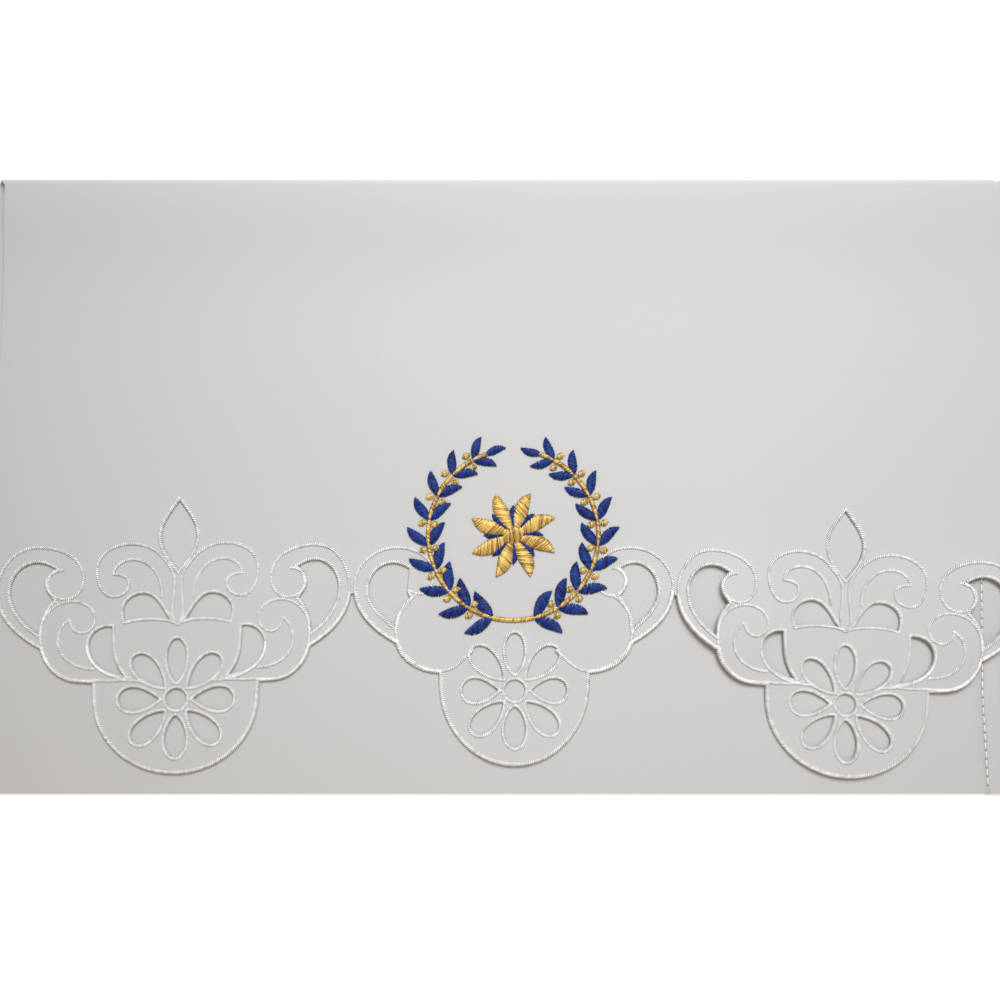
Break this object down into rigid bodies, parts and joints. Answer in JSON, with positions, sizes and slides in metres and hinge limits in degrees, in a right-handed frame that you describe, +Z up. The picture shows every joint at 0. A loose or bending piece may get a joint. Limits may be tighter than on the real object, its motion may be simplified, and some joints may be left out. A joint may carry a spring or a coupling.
{
  "type": "folded altar cloth",
  "caption": "White twill altar cloth, folded over, with a scalloped cutwork edge of daisies and scrolls, a side hem and a raised blue and gold flower wreath.",
  "frame": {"origin": "middle of the folded cloth's footprint, on the surface it lies on", "axes": "+X along the cutwork edge to the hemmed side, +Y from the cutwork edge to the back fold, +Z up"},
  "size_m": [0.388, 0.22, 0.0055],
  "materials": {
    "white_twill": "matt white twill",
    "blue_thread": "glossy blue satin stitch",
    "gold_thread": "gold metal-wrapped thread"
  },
  "bodies": {
    "root": {"altar_cloth": "white_twill", "leaf_wreath": "blue_thread", "rosette": "gold_thread"}
  },
  "joints": []
}
